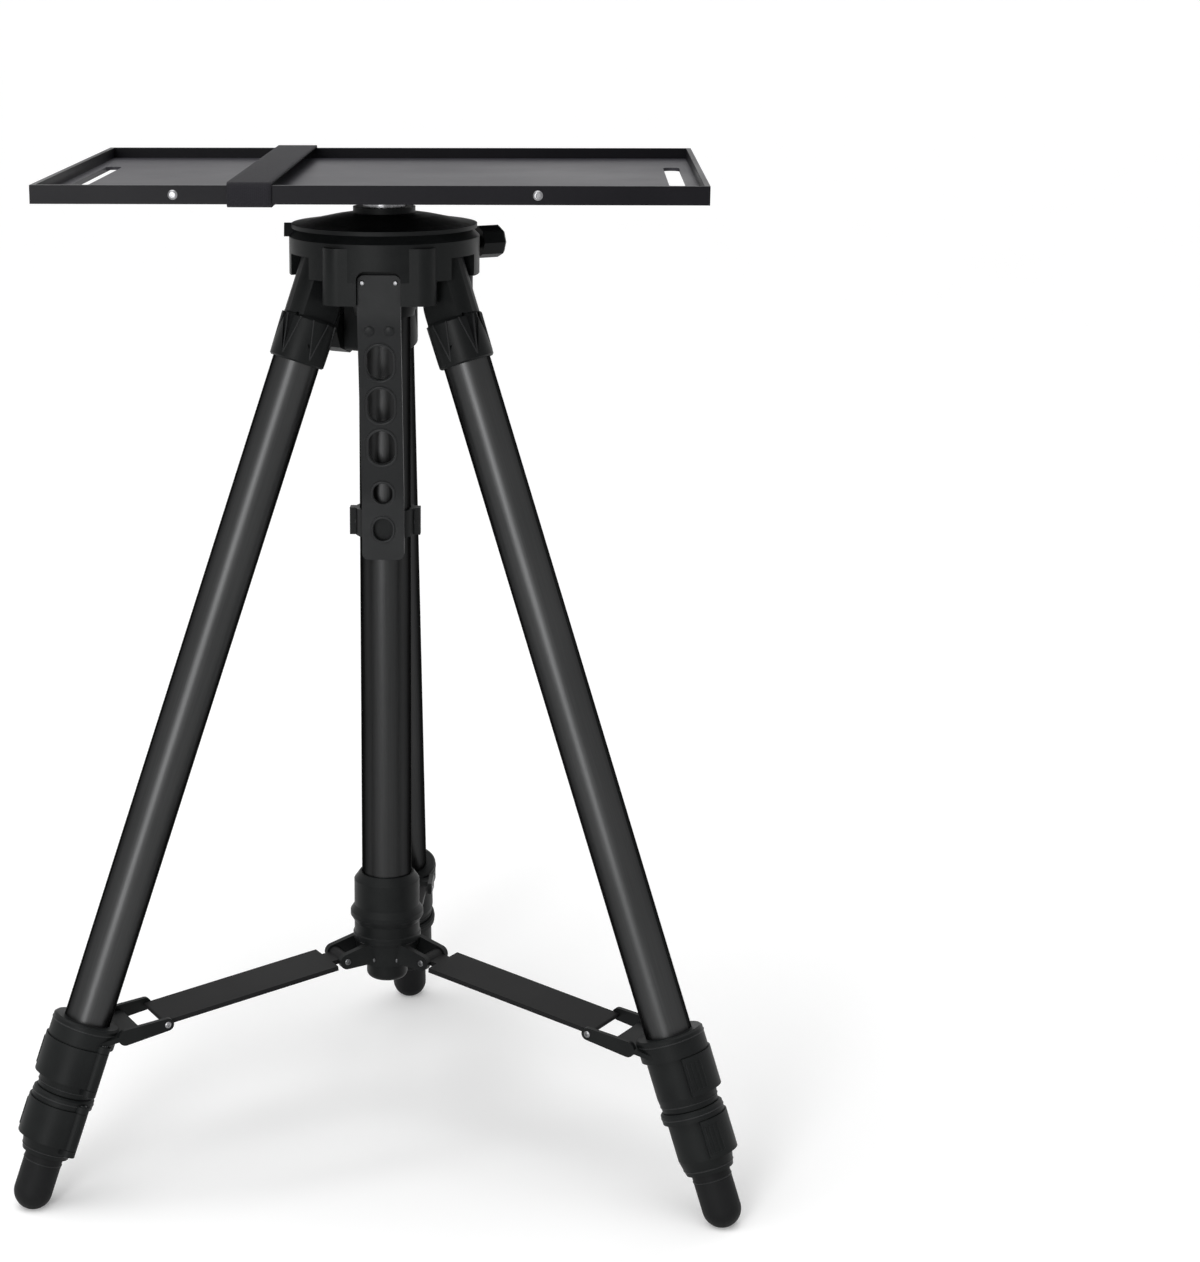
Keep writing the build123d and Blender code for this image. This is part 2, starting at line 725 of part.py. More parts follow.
# Legs, each with its shoulder, tubes, locks, levers, foot and spreader arm
for side, azimuth in leg_azimuths.items():
    with BuildPart() as shoulder:
        with BuildSketch(leg_side_plane(azimuth)):
            with Locations((hinge_offset, 0)):
                Circle(eye_radius)
            with Locations((0, -sleeve_start - 1)):
                Rectangle(2 * neck_root_radius, 2)
            make_hull()
        extrude(amount=neck_thickness / 2, both=True)
        with BuildSketch(leg_plane(azimuth, sleeve_end)):
            Circle(sleeve_radius - sleeve_taper)
        extrude(amount=sleeve_end + 2 * eye_radius, mode=Mode.INTERSECT)
        with BuildSketch(leg_side_plane(azimuth)):
            Polygon(
                (0, -sleeve_start),
                (sleeve_radius - sleeve_taper, -sleeve_start),
                (sleeve_radius, -sleeve_start - 2 * sleeve_taper),
                (sleeve_radius, -sleeve_end + 1),
                (sleeve_radius - 1, -sleeve_end),
                (0, -sleeve_end),
                align=None,
            )
        revolve(axis=leg_axis(azimuth))
        for flute_angle in range(30, 360, 60):
            around = leg_plane(azimuth, sleeve_end - 3).rotated((0, 0, flute_angle))
            flute_face = Plane(origin=around.origin, x_dir=around.y_dir, z_dir=around.x_dir)
            with BuildSketch(flute_face.offset(sleeve_radius - flute_depth)):
                Polygon(
                    (-flute_width / 2, flute_length), (flute_width / 2, flute_length), (0, 0), align=None
                )
            extrude(amount=flute_depth + 2, mode=Mode.SUBTRACT)
        with BuildSketch(leg_plane(azimuth, sleeve_end)):
            Circle(upper_tube_radius + seat_fit)
        extrude(amount=sleeve_end - upper_tube_start, mode=Mode.SUBTRACT)
        with BuildSketch(leg_side_plane(azimuth)):
            with Locations((hinge_offset, 0)):
                Circle(hinge_pin_radius + slip_fit)
        extrude(amount=neck_thickness, both=True, mode=Mode.SUBTRACT)
    save(shoulder, f"shoulder_{side}")

    upper_tube = make_tube(
        azimuth, upper_tube_end, upper_tube_end - upper_tube_start, upper_tube_radius, upper_tube_wall
    )
    save(upper_tube, f"upper_tube_{side}")

    upper_lever_top = upper_lock_start + upper_lever_drop
    upper_lock = make_lock(
        azimuth, upper_lock_start, upper_lock_length, upper_lock_radii, upper_lever_top,
        upper_tube_end, upper_tube_radius, mid_tube_radius, True,
    )
    save(upper_lock, f"upper_lock_{side}")

    upper_lever = make_lever(azimuth, upper_lock_radius, upper_lever_top)
    save(upper_lever, f"upper_lever_{side}")

    mid_tube = make_tube(azimuth, mid_tube_end, mid_tube_length, mid_tube_radius, mid_tube_wall)
    save(mid_tube, f"mid_tube_{side}")

    lower_lever_top = lower_lock_start + lower_lever_drop
    lower_lock = make_lock(
        azimuth, lower_lock_start, lower_lock_length, lower_lock_radii, lower_lever_top,
        mid_tube_end, mid_tube_radius, lower_tube_radius, False,
    )
    save(lower_lock, f"lower_lock_{side}")

    lower_lever = make_lever(azimuth, lower_lock_radius, lower_lever_top)
    save(lower_lever, f"lower_lever_{side}")

    lower_tube = make_tube(azimuth, lower_tube_end, lower_tube_length, lower_tube_radius, lower_tube_wall)
    save(lower_tube, f"lower_tube_{side}")

    # Rubber foot: a round-ended sleeve with a flat where it stands on the floor
    with BuildPart() as foot:
        with BuildSketch(leg_plane(azimuth, foot_ball)):
            Circle(foot_radius)
        extrude(amount=foot_ball - foot_start)
        with Locations(leg_plane(azimuth, foot_ball).location):
            Sphere(foot_radius)
        with BuildSketch(leg_plane(azimuth, lower_tube_end)):
            Circle(lower_tube_radius + seat_fit)
        extrude(amount=lower_tube_end - foot_start + foot_radius, mode=Mode.SUBTRACT)
        split(bisect_by=Plane.XY, keep=Keep.TOP)
    save(foot, f"foot_{side}")

    # Spreader arm: a flat strip with a narrow tongue that turns on the hub's pin
    with BuildPart() as arm:
        with BuildSketch(arm_plane(azimuth)):
            with Locations((arm_length / 2, 0)):
                SlotCenterToCenter(arm_length, arm_thickness)
        extrude(amount=arm_width / 2, both=True)
        with BuildSketch(arm_face_plane(azimuth)):
            for notch_side in (-1, 1):
                with Locations((0, notch_side * (arm_width / 2 + arm_tongue_width / 2) / 2)):
                    Rectangle(2 * arm_tongue_length, (arm_width - arm_tongue_width) / 2)
        extrude(amount=arm_thickness, both=True, mode=Mode.SUBTRACT)
        with BuildSketch(arm_plane(azimuth)):
            Circle(arm_knuckle_radius)
        extrude(amount=arm_tongue_width / 2, both=True)
        with BuildSketch(arm_plane(azimuth)):
            Circle(arm_pin_radius + slip_fit)
        extrude(amount=arm_width, both=True, mode=Mode.SUBTRACT)
    save(arm, f"arm_{side}")
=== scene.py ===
import json
import logging
import math
from dataclasses import dataclass, field
from enum import Enum
from typing import Any, Iterable, Mapping, Optional, Sequence, Union

import bmesh
import bpy
from mathutils import Matrix, Vector


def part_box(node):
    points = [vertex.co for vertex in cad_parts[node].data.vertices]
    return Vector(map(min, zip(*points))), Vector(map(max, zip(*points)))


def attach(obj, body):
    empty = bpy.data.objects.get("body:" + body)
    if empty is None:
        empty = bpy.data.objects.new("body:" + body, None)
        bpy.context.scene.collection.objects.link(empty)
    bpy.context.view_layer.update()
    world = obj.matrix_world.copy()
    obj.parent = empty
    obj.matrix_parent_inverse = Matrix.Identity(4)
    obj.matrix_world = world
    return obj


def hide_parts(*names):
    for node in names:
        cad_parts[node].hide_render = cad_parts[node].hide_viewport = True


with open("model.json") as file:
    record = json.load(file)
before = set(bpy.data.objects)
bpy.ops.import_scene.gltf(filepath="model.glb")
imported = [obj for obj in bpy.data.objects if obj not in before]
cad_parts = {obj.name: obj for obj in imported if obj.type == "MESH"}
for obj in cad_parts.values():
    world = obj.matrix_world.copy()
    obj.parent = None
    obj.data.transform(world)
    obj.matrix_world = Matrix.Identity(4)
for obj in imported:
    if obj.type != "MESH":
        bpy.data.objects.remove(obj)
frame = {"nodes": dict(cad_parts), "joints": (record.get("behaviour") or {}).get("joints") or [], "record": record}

LOG = logging.getLogger("projector_stand")
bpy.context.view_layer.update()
MM = 0.001
UP = Vector((0, 0, 1))
FRONT = Vector((0, -1, 0))
WELD = 1e-6
FINE_WELD = 1e-7

Number = Union[int, float]
Colour = tuple[float, float, float]


class Slot(str, Enum):
    """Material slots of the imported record."""

    PLASTIC = "black_plastic"
    TUBE = "grey_tube"
    HANDLE = "handle_rubber"
    STEEL = "bright_steel"
    RAIL = "tray_frame"
    PANEL = "tray_panel"
    STRAP = "strap"
    FOOT = "foot_rubber"
    ARM = "arm_metal"


class Side(str, Enum):
    """The three legs."""

    LEFT = "left"
    RIGHT = "right"
    BACK = "back"


class Sock:
    """A node output that builds math nodes when it is used in arithmetic."""

    def __init__(self, graph: "Graph", out: bpy.types.NodeSocket) -> None:
        """Wrap an output.

        Args:
            graph: The graph that the output belongs to.
            out: The output itself.
        """
        self.graph = graph
        self.out = out

    def _math(self, operation: str, *others: "Value") -> "Sock":
        """This value and others through one math node."""
        return self.graph.math(operation, self, *others)

    def __add__(self, other: "Value") -> "Sock":
        """This value plus another."""
        return self._math("ADD", other)

    def __radd__(self, other: Number) -> "Sock":
        """A number plus this value."""
        return self._math("ADD", other)

    def __sub__(self, other: "Value") -> "Sock":
        """This value less another."""
        return self._math("SUBTRACT", other)

    def __rsub__(self, other: Number) -> "Sock":
        """A number less this value."""
        return self.graph.math("SUBTRACT", other, self)

    def __mul__(self, other: "Value") -> "Sock":
        """This value times another."""
        return self._math("MULTIPLY", other)

    def __rmul__(self, other: Number) -> "Sock":
        """A number times this value."""
        return self._math("MULTIPLY", other)

    def sine(self) -> "Sock":
        """The sine of this value."""
        return self._math("SINE")

    def magnitude(self) -> "Sock":
        """This value without its sign."""
        return self._math("ABSOLUTE")


Value = Union[Sock, Number]
Input = Union[Sock, Number, Sequence[float]]


class Graph:
    """The node tree of a material or a world, with one method that makes its nodes."""

    def __init__(self, owner: Union[bpy.types.Material, bpy.types.World]) -> None:
        """Start with an empty tree.

        Args:
            owner: The material or world.
        """
        owner.use_nodes = True
        self.owner = owner
        self.tree = owner.node_tree
        self.tree.nodes.clear()

    def node(
        self,
        kind: str,
        inputs: Optional[Mapping[Union[str, int], Input]] = None,
        **settings: Any,
    ) -> bpy.types.Node:
        """Make one node.

        Args:
            kind: The node's type name.
            inputs: Values or outputs for its inputs, by name or number.
            **settings: Properties to set on the node.

        Returns:
            The new node.
        """
        made = self.tree.nodes.new(kind)
        for key, value in settings.items():
            setattr(made, key, value)
        for key, value in (inputs or {}).items():
            if isinstance(value, Sock):
                self.tree.links.new(value.out, made.inputs[key])
            else:
                made.inputs[key].default_value = value
        return made

    def out(self, made: bpy.types.Node, name: Union[str, int] = 0) -> Sock:
        """One output of a node.

        Args:
            made: The node.
            name: The output's name or number.

        Returns:
            The wrapped output.
        """
        return Sock(self, made.outputs[name])

    def math(self, operation: str, *values: Value) -> Sock:
        """A math node.

        Args:
            operation: Blender's name for the operation.
            *values: Its inputs in order.

        Returns:
            Its result.
        """
        return self.out(self.node("ShaderNodeMath", dict(enumerate(values)), operation=operation))

    def coords(self) -> Sock:
        """The piece's own coordinates, in metres."""
        return self.out(self.node("ShaderNodeTexCoord"), "Object")

    def seen(self) -> Sock:
        """1 for what the camera sees, straight or mirrored, and 0 for what lights the stand."""
        rays = self.node("ShaderNodeLightPath")
        direct = self.out(rays, "Is Camera Ray") + self.out(rays, "Is Glossy Ray")
        return direct + self.out(rays, "Is Transmission Ray")

    def split(self, vector: Sock) -> tuple[Sock, Sock, Sock]:
        """The three numbers of a vector.

        Args:
            vector: The vector.

        Returns:
            Its x, y and z.
        """
        made = self.node("ShaderNodeSeparateXYZ", {0: vector})
        return self.out(made, 0), self.out(made, 1), self.out(made, 2)

    def join(self, x: Sock, y: Sock, z: Sock) -> Sock:
        """A vector from three numbers.

        Args:
            x: First number.
            y: Second number.
            z: Third number.

        Returns:
            The vector.
        """
        return self.out(self.node("ShaderNodeCombineXYZ", {0: x, 1: y, 2: z}))

    def along(self, vector: Sock, direction: Vector) -> Sock:
        """How far a vector reaches in a direction.

        Args:
            vector: The vector.
            direction: A unit direction.

        Returns:
            The distance.
        """
        inputs = {0: vector, 1: tuple(direction)}
        made = self.node("ShaderNodeVectorMath", inputs, operation="DOT_PRODUCT")
        return self.out(made, "Value")

    def noise(
        self, where: Sock, scale: float, detail: float = 3.0, roughness: float = 0.55
    ) -> Sock:
        """Smooth noise from 0 to 1.

        Args:
            where: Where to read it.
            scale: Cells in a metre.
            detail: Finer layers.
            roughness: How strong the finer layers are.

        Returns:
            The noise.
        """
        inputs = {"Vector": where, "Scale": scale, "Detail": detail, "Roughness": roughness}
        return self.out(self.node("ShaderNodeTexNoise", inputs), 0)

    def spread(
        self, value: Sock, low: float, high: float, to_low: float = 0.0, to_high: float = 1.0
    ) -> Sock:
        """Stretch a range of values to another one, clamped.

        Args:
            value: What to stretch.
            low: The value that becomes to_low.
            high: The value that becomes to_high.
            to_low: Result at low.
            to_high: Result at high.

        Returns:
            The stretched value.
        """
        inputs = {0: value, 1: low, 2: high, 3: to_low, 4: to_high}
        return self.out(self.node("ShaderNodeMapRange", inputs, clamp=True))

    def mix(self, amount: Sock, first: Colour, second: Colour) -> Sock:
        """A blend of two colours.

        Args:
            amount: 0 gives the first and 1 the second.
            first: A colour.
            second: Another colour.

        Returns:
            The blended colour.
        """
        inputs = {0: amount, 6: (*first, 1.0), 7: (*second, 1.0)}
        return self.out(self.node("ShaderNodeMix", inputs, data_type="RGBA"), 2)

    def bump(self, height: Sock, depth: float, strength: float = 1.0) -> Sock:
        """A surface normal from a height.

        Args:
            height: The height, from 0 to 1.
            depth: What a height of 1 stands for, in metres.
            strength: How much of it shows.

        Returns:
            The normal.
        """
        inputs = {"Height": height, "Distance": depth, "Strength": strength}
        return self.out(self.node("ShaderNodeBump", inputs), "Normal")

    def finish(self, shader_inputs: Mapping[str, Input]) -> bpy.types.Material:
        """Close the material with one surface shader.

        Args:
            shader_inputs: Inputs of the shader.

        Returns:
            The finished material.
        """
        shader = self.node("ShaderNodeBsdfPrincipled", shader_inputs)
        self.node("ShaderNodeOutputMaterial", {"Surface": self.out(shader)})
        return self.owner


@dataclass(frozen=True)
class Moulding:
    """Moulded black plastic with a fine spark-eroded grain and rubbed patches."""

    name: str = "moulded_plastic"
    deep: Colour = (0.0045, 0.005, 0.0052)
    worn: Colour = (0.0095, 0.0105, 0.0104)
    gloss_low: float = 0.34
    gloss_high: float = 0.52
    cloud_scale: float = 26.0
    scuff_scale: float = 160.0
    grain_scale: float = 2600.0
    grain_depth: float = 0.06 * MM
    specular: float = 0.1

    def make(self) -> bpy.types.Material:
        """Build the material.

        Returns:
            The material.
        """
        g = Graph(bpy.data.materials.new(self.name))
        place = g.coords()
        cloud = g.noise(place, self.cloud_scale, 4.0)
        grain = g.noise(place, self.grain_scale, 2.0, 0.6)
        scuff = g.spread(g.noise(place, self.scuff_scale, 5.0, 0.7), 0.56, 0.74)
        colour = g.mix(g.spread(cloud, 0.35, 0.7) * 0.8 + scuff * 0.2, self.deep, self.worn)
        rough = g.spread(cloud, 0.3, 0.7, self.gloss_low, self.gloss_high) + grain * 0.08
        return g.finish({
            "Base Color": colour,
            "Roughness": rough,
            "Specular IOR Level": self.specular,
            "Normal": g.bump(grain * 0.8 + scuff * 0.2, self.grain_depth, 0.5),
        })


@dataclass(frozen=True)
class Anodised:
    """Dark grey anodised tube, drawn along its length."""

    name: str
    axis: Vector
    base: Colour = (0.035, 0.0354, 0.0358)
    light: Colour = (0.051, 0.0514, 0.0518)
    edge_tint: Colour = (0.12, 0.12, 0.12)
    streak_scale: float = 1500.0
    streak_stretch: float = 0.012
    streak_depth: float = 0.03 * MM
    cloud_scale: float = 9.0
    speck_scale: float = 900.0

    def make(self) -> bpy.types.Material:
        """Build the material.

        Returns:
            The material.
        """
        g = Graph(bpy.data.materials.new(self.name))
        place = g.coords()
        side = self.axis.orthogonal().normalized()
        other = self.axis.cross(side).normalized()
        length = g.along(place, self.axis) * self.streak_stretch
        drawn = g.join(g.along(place, side), g.along(place, other), length)
        streak = g.noise(drawn, self.streak_scale, 3.0, 0.6)
        cloud = g.noise(place, self.cloud_scale, 3.0)
        speck = g.spread(g.noise(place, self.speck_scale, 2.0, 0.7), 0.62, 0.8)
        shade = g.spread(streak, 0.3, 0.7) * 0.35 + g.spread(cloud, 0.3, 0.7) * 0.35
        colour = g.mix(shade, self.base, self.light)
        return g.finish({
            "Base Color": colour,
            "Metallic": 1.0,
            "Specular Tint": (*self.edge_tint, 1.0),
            "Roughness": g.spread(streak, 0.25, 0.75, 0.31, 0.41) + speck * 0.1,
            "Normal": g.bump(streak, self.streak_depth, 0.45),
        })


@dataclass(frozen=True)
class Painted:
    """Powder-coated sheet metal with a fine orange peel."""

    name: str
    base: Colour
    light: Colour
    gloss_low: float = 0.3
    gloss_high: float = 0.44
    specular: float = 0.06
    cloud_scale: float = 7.0
    dust_scale: float = 420.0
    peel_scale: float = 1100.0
    peel_depth: float = 0.04 * MM

    def make(self) -> bpy.types.Material:
        """Build the material.

        Returns:
            The material.
        """
        g = Graph(bpy.data.materials.new(self.name))
        place = g.coords()
        cloud = g.noise(place, self.cloud_scale, 4.0)
        peel = g.noise(place, self.peel_scale, 2.0, 0.5)
        dust = g.spread(g.noise(place, self.dust_scale, 4.0, 0.75), 0.6, 0.82)
        colour = g.mix(g.spread(cloud, 0.32, 0.68) * 0.7 + dust * 0.25, self.base, self.light)
        gloss = g.spread(cloud, 0.3, 0.7, self.gloss_low, self.gloss_high)
        return g.finish({
            "Base Color": colour,
            "Specular IOR Level": self.specular,
            "Roughness": gloss + dust * 0.1,
            "Normal": g.bump(peel, self.peel_depth, 0.5),
        })


@dataclass(frozen=True)
class Rubber:
    """Soft matt rubber with a dusty bloom."""

    name: str
    base: Colour
    bloom: Colour
    rough: float = 0.55
    specular: float = 0.1
    cloud_scale: float = 40.0
    grain_scale: float = 1900.0
    grain_depth: float = 0.08 * MM

    def make(self) -> bpy.types.Material:
        """Build the material.

        Returns:
            The material.
        """
        g = Graph(bpy.data.materials.new(self.name))
        place = g.coords()
        cloud = g.noise(place, self.cloud_scale, 4.0, 0.6)
        grain = g.noise(place, self.grain_scale, 3.0, 0.65)
        colour = g.mix(g.spread(cloud, 0.4, 0.75) * 0.6, self.base, self.bloom)
        rough = g.spread(cloud, 0.3, 0.7, self.rough - 0.08, self.rough + 0.1)
        return g.finish({
            "Base Color": colour,
            "Roughness": rough + grain * 0.06,
            "Specular IOR Level": self.specular,
            "Normal": g.bump(grain, self.grain_depth, 0.5),
        })


@dataclass(frozen=True)
class Webbing:
    """Flat woven strap: rows of slanted yarns with firm edges."""

    name: str = "strap_webbing"
    base: Colour = (0.0072, 0.0069, 0.0088)
    yarn: Colour = (0.0162, 0.0156, 0.0189)
    rib: float = 2.2 * MM
    pick: float = 1.6 * MM
    fuzz_scale: float = 3200.0
    weave_depth: float = 0.25 * MM
    specular: float = 0.12
    sheen: float = 0.05

    def make(self) -> bpy.types.Material:
        """Build the material.

        Returns:
            The material.
        """
        g = Graph(bpy.data.materials.new(self.name))
        place = g.coords()
        across, depth, height = g.split(place)
        along = depth + height
        rib = (across * (2 * math.pi / self.rib)).sine().magnitude()
        slant = (across * (math.pi / (2 * self.rib))).sine().magnitude() * self.pick
        twill = ((along + slant) * (2 * math.pi / self.pick)).sine()
        fuzz = g.noise(place, self.fuzz_scale, 3.0, 0.7)
        weave = rib * 0.6 + g.spread(twill, -1.0, 1.0) * 0.4
        colour = g.mix(weave * 0.7 + fuzz * 0.3, self.base, self.yarn)
        return g.finish({
            "Base Color": colour,
            "Roughness": g.spread(fuzz, 0.3, 0.7, 0.72, 0.9),
            "Specular IOR Level": self.specular,
            "Sheen Weight": self.sheen,
            "Normal": g.bump(weave * 0.85 + fuzz * 0.15, self.weave_depth, 0.7),
        })


@dataclass(frozen=True)
class Plated:
    """Bright plated steel with turning marks."""

    name: str = "plated_steel"
    base: Colour = (0.26, 0.26, 0.268)
    dull: Colour = (0.16, 0.16, 0.166)
    cloud_scale: float = 300.0
    fine_scale: float = 4000.0
    fine_depth: float = 0.02 * MM

    def make(self) -> bpy.types.Material:
        """Build the material.

        Returns:
            The material.
        """
        g = Graph(bpy.data.materials.new(self.name))
        place = g.coords()
        cloud = g.noise(place, self.cloud_scale, 4.0)
        fine = g.noise(place, self.fine_scale, 2.0)
        return g.finish({
            "Base Color": g.mix(g.spread(cloud, 0.35, 0.7), self.base, self.dull),
            "Metallic": 1.0,
            "Roughness": g.spread(cloud, 0.3, 0.7, 0.18, 0.34) + fine * 0.05,
            "Normal": g.bump(fine, self.fine_depth, 0.4),
        })


@dataclass
class Finishes:
    """Every material of the stand, made once."""

    plastic: bpy.types.Material = field(default_factory=Moulding().make)
    # A lighter copy of the moulded plastic for the raised rims, seam lines, flute edges and band screws: painted
    # highlight along those raised edges.
    edge: bpy.types.Material = field(default_factory=Moulding(
        "painted_highlight_edge", (0.016, 0.0165, 0.017), (0.03, 0.031, 0.0315), 0.3, 0.42
    ).make)
    steel: bpy.types.Material = field(default_factory=Plated().make)
    bolt: bpy.types.Material = field(default_factory=Plated(
        "blackened_steel", (0.11, 0.112, 0.115), (0.06, 0.061, 0.063)
    ).make)
    rail: bpy.types.Material = field(default_factory=Painted(
        "tray_frame_paint", (0.0048, 0.0046, 0.006), (0.0082, 0.0079, 0.0099)
    ).make)
    panel: bpy.types.Material = field(default_factory=Painted(
        "tray_panel_paint", (0.029, 0.028, 0.033), (0.043, 0.042, 0.048), 0.34, 0.46
    ).make)
    arm: bpy.types.Material = field(default_factory=Painted(
        "arm_paint", (0.008, 0.008, 0.0083), (0.014, 0.014, 0.0145), 0.4, 0.55
    ).make)
    handle: bpy.types.Material = field(default_factory=Rubber(
        "handle_rubber", (0.0062, 0.0068, 0.0072), (0.0115, 0.012, 0.0125), 0.45, 0.18
    ).make)
    foot: bpy.types.Material = field(default_factory=Rubber(
        "foot_rubber", (0.006, 0.0062, 0.0066), (0.012, 0.0122, 0.0127)
    ).make)
    strap: bpy.types.Material = field(default_factory=Webbing().make)


def spun(profile: Sequence[tuple[float, float]], steps: int = 32) -> bmesh.types.BMesh:
    """A closed turned shape about Z.

    Args:
        profile: Radius and height pairs, in metres, from the axis back to the axis.
        steps: Facets round the axis.

    Returns:
        A new mesh at the origin.
    """
    bm = bmesh.new()
    points = [bm.verts.new((radius, 0.0, height)) for radius, height in profile]
    edges = [bm.edges.new(pair) for pair in zip(points, points[1:])]
    bmesh.ops.spin(
        bm, geom=points + edges, cent=(0, 0, 0), axis=(0, 0, 1),
        angle=2 * math.pi, steps=steps, use_merge=True,
    )
    bmesh.ops.remove_doubles(bm, verts=bm.verts, dist=FINE_WELD)
    return bm


def ring_profile(
    inner: float, outer: float, low: float, high: float, soft: float
) -> list[tuple[float, float]]:
    """A ring's section with softened outer corners, as a closed loop.

    Args:
        inner: Inner radius.
        outer: Outer radius.
        low: Bottom height.
        high: Top height.
        soft: Size of the softened corners.

    Returns:
        Radius and height pairs that end where they start.
    """
    return [
        (inner, low), (outer - soft, low), (outer, low + soft),
        (outer, high - soft), (outer - soft, high), (inner, high), (inner, low),
    ]


def facing(origin: Vector, out: Vector, up: Vector = UP) -> Matrix:
    """A placement whose Z points outward.

    Args:
        origin: Where the local origin goes.
        out: Direction of local Z.
        up: A direction that helps to set local Y.

    Returns:
        The matrix.
    """
    z = out.normalized()
    x = up.cross(z)
    x = x.normalized() if x.length > 1e-6 else z.orthogonal().normalized()
    y = z.cross(x)
    return Matrix.Translation(origin) @ Matrix((x, y, z)).transposed().to_4x4()


def add_piece(
    name: str,
    bm: bmesh.types.BMesh,
    place: Matrix,
    material: bpy.types.Material,
    body: str,
    sharp: float = 40.0,
) -> bpy.types.Object:
    """Turn a mesh into a piece that rides on a body.

    Args:
        name: The piece's name.
        bm: Its mesh, which is freed.
        place: Where it goes.
        material: Its material.
        body: The CAD body that it rides on.
        sharp: Edges steeper than this, in degrees, stay sharp.

    Returns:
        The new object.
    """
    bmesh.ops.transform(bm, matrix=place, verts=bm.verts)
    bmesh.ops.recalc_face_normals(bm, faces=bm.faces)
    for face in bm.faces:
        face.smooth = True
    for edge in bm.edges:
        edge.smooth = not edge.is_manifold or edge.calc_face_angle(0.0) < math.radians(sharp)
    mesh = bpy.data.meshes.new(name)
    bm.to_mesh(mesh)
    bm.free()
    mesh.materials.append(material)
    piece = bpy.data.objects.new(name, mesh)
    bpy.context.scene.collection.objects.link(piece)
    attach(piece, body)
    return piece


@dataclass(frozen=True)
class Screw:
    """Sizes of a domed head with a round socket."""

    radius: float
    height: float
    socket: float
    steps: int = 24

    def head(self) -> bmesh.types.BMesh:
        """Turn the head.

        Returns:
            A new mesh that sits on Z = 0.
        """
        low = self.height * 0.35
        return spun([
            (0, 0), (self.radius, 0), (self.radius, low),
            (self.radius * 0.82, self.height * 0.8), (self.radius * 0.62, self.height),
            (self.socket, self.height), (self.socket * 0.9, low), (0, low),
        ], self.steps)


def draw_on(
    bm: bmesh.types.BMesh, row: Sequence[bmesh.types.BMEdge], step: Vector
) -> list[bmesh.types.BMEdge]:
    """Draw a row of edges out along a straight.

    Args:
        bm: The mesh.
        row: The edges to draw out.
        step: How far they go.

    Returns:
        The row at the far end.
    """
    drawn = bmesh.ops.extrude_edge_only(bm, edges=row)["geom"]
    points = [item for item in drawn if isinstance(item, bmesh.types.BMVert)]
    bmesh.ops.translate(bm, verts=points, vec=step)
    edges = [item for item in drawn if isinstance(item, bmesh.types.BMEdge)]
    return [edge for edge in edges if all(vert in points for vert in edge.verts)]


def turn_on(
    bm: bmesh.types.BMesh,
    row: Sequence[bmesh.types.BMEdge],
    centre: Vector,
    axis: Vector,
    angle: float,
    steps: int,
) -> list[bmesh.types.BMEdge]:
    """Carry a row of edges round a bend.

    Args:
        bm: The mesh.
        row: The edges to carry.
        centre: Centre of the bend.
        axis: Direction that the bend turns about.
        angle: How far it turns, in radians.
        steps: Facets round the bend.

    Returns:
        The row at the far end.
    """
    points = list({vert for edge in row for vert in edge.verts})
    swept = bmesh.ops.spin(
        bm, geom=points + list(row), cent=centre, axis=axis, angle=angle, steps=steps
    )
    return [item for item in swept["geom_last"] if isinstance(item, bmesh.types.BMEdge)]


def slot_rim(
    width: float, length: float, band: float, height: float, steps: int = 14
) -> bmesh.types.BMesh:
    """A raised rim round a slot, swept round its two ends and along its sides.

    Args:
        width: Width of the slot.
        length: Overall length of the slot, along Y.
        band: Width of the rim.
        height: How far the rim stands out along Z.
        steps: Facets round each end.

    Returns:
        A new mesh that sits on Z = 0.
    """
    half = (length - width) / 2
    inner, outer = width / 2, width / 2 + band
    shoulder, soft = height * 0.6, band * 0.3
    bm = bmesh.new()
    section = [
        (inner, 0), (inner, shoulder), (inner + soft, height),
        (outer - soft, height), (outer, shoulder), (outer, 0),
    ]
    points = [bm.verts.new((x, half, z)) for x, z in section]
    row = [bm.edges.new(pair) for pair in zip(points, points[1:] + points[:1])]
    for hand in (1, -1):
        row = turn_on(bm, row, Vector((0, hand * half, 0)), UP, math.pi, steps)
        row = draw_on(bm, row, Vector((0, -hand * 2 * half, 0)))
    bmesh.ops.remove_doubles(bm, verts=bm.verts, dist=WELD)
    return bm


def soft_bar(width: float, length: float, height: float, soft: float) -> bmesh.types.BMesh:
    """A short bar with rounded edges.

    Args:
        width: Size along X.
        length: Size along Y.
        height: Size along Z, from Z = 0.
        soft: Size of the rounded edges.

    Returns:
        A new mesh.
    """
    bm = bmesh.new()
    bmesh.ops.create_cube(bm, size=1.0)
    bmesh.ops.scale(bm, vec=(width, length, height), verts=bm.verts)
    bmesh.ops.translate(bm, vec=(0, 0, height / 2), verts=bm.verts)
    top = [edge for edge in bm.edges if sum(vert.co.z for vert in edge.verts) > height]
    bmesh.ops.bevel(
        bm, geom=top, offset=soft, offset_type="OFFSET", affect="EDGES",
        segments=3, profile=0.5, material=-1,
    )
    return bm


def merged(pieces: Iterable[tuple[bmesh.types.BMesh, Matrix]]) -> bmesh.types.BMesh:
    """Several placed shapes in one mesh.

    Args:
        pieces: Shapes, which are freed, with their placements.

    Returns:
        A new mesh.
    """
    whole = bmesh.new()
    carrier = bpy.data.meshes.new("carrier")
    for bm, place in pieces:
        bmesh.ops.transform(bm, matrix=place, verts=bm.verts)
        bm.to_mesh(carrier)
        bm.free()
        whole.from_mesh(carrier)
    bpy.data.meshes.remove(carrier)
    return whole


